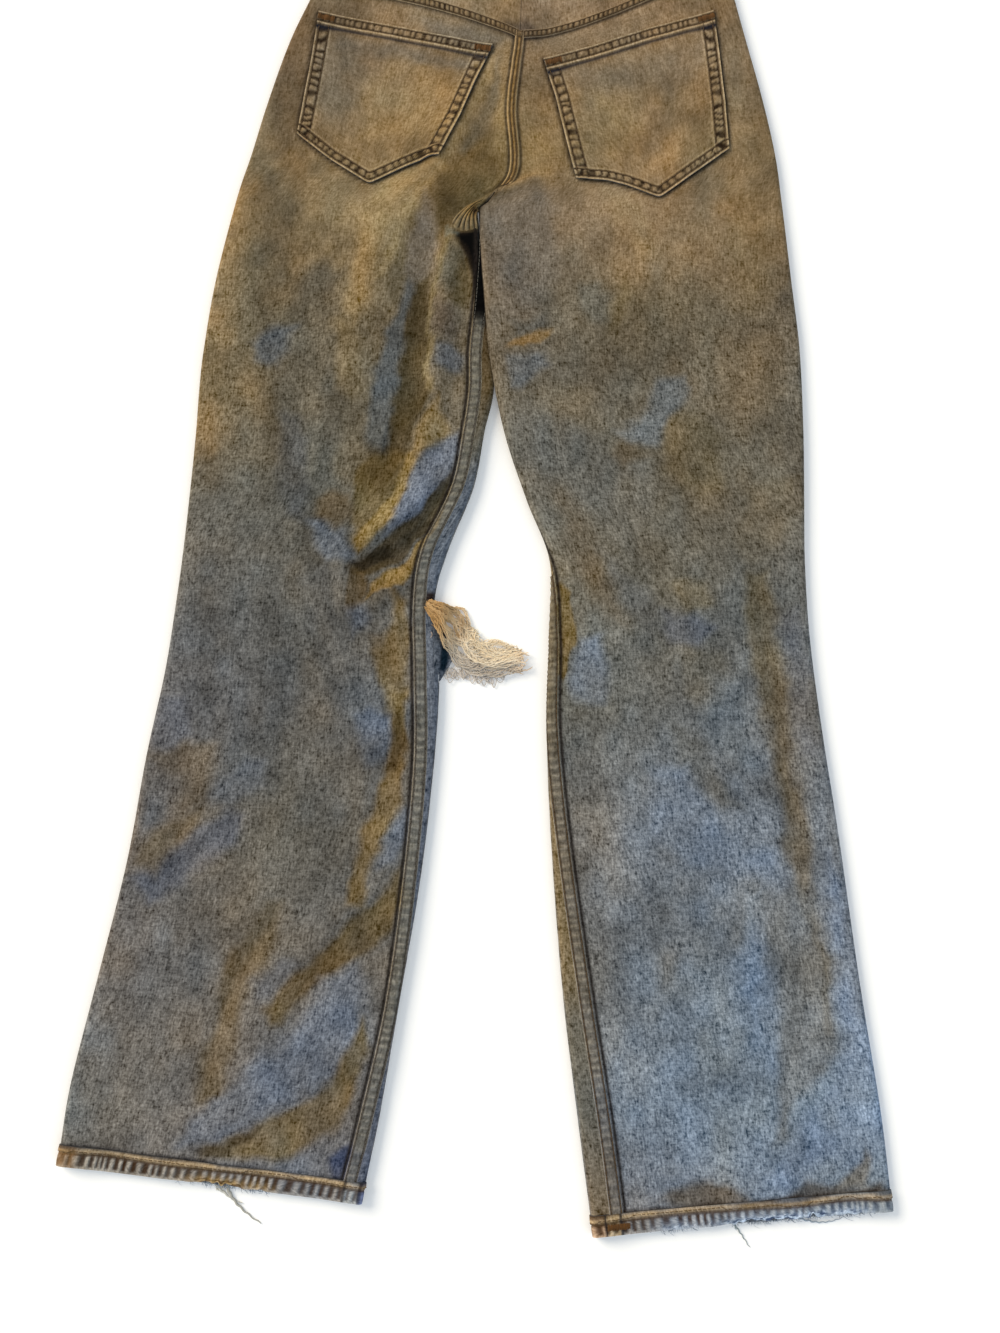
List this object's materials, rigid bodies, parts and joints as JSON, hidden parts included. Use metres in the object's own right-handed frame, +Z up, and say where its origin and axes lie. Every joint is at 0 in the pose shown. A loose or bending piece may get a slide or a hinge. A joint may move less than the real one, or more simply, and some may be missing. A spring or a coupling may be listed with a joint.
{
  "type": "ripped jeans",
  "caption": "Worn straight-leg denim jeans laid flat on their front, ripped across one knee, with frayed hems.",
  "frame": {"origin": "on the surface that the jeans lie on, under the middle of their outline", "axes": "+Y along the legs from the hems to the waistband, +X to the wearer's right, +Z up, out of the back of the jeans"},
  "size_m": [0.6114, 1.0742, 0.0205],
  "materials": {
    "denim": "faded, stone-washed cotton denim, tan at the seat and grey-blue at the hems",
    "seamed_denim": "folded and topstitched denim with worn edges",
    "cotton_thread": "loose undyed cotton yarn",
    "zip_tape": "woven tape with a closed metal chain",
    "metal": "aged copper, dull"
  },
  "bodies": {
    "root": {"back_panel_left": "denim", "back_panel_right": "denim", "front_panel_left": "denim", "front_panel_right": "denim", "yoke_left": "denim", "yoke_right": "denim", "back_pocket_left": "denim", "back_pocket_right": "denim", "pocket_facing_left": "denim", "pocket_facing_right": "denim", "fly_shield": "denim", "hem_left": "seamed_denim", "hem_right": "seamed_denim", "waistband": "seamed_denim", "belt_loop_centre": "seamed_denim", "belt_loop_back_left": "seamed_denim", "belt_loop_back_right": "seamed_denim", "belt_loop_front_left": "seamed_denim", "belt_loop_front_right": "seamed_denim", "knee_threads": "cotton_thread", "fly_zip": "zip_tape", "zip_slider": "metal", "waist_button": "metal"}
  },
  "joints": []
}
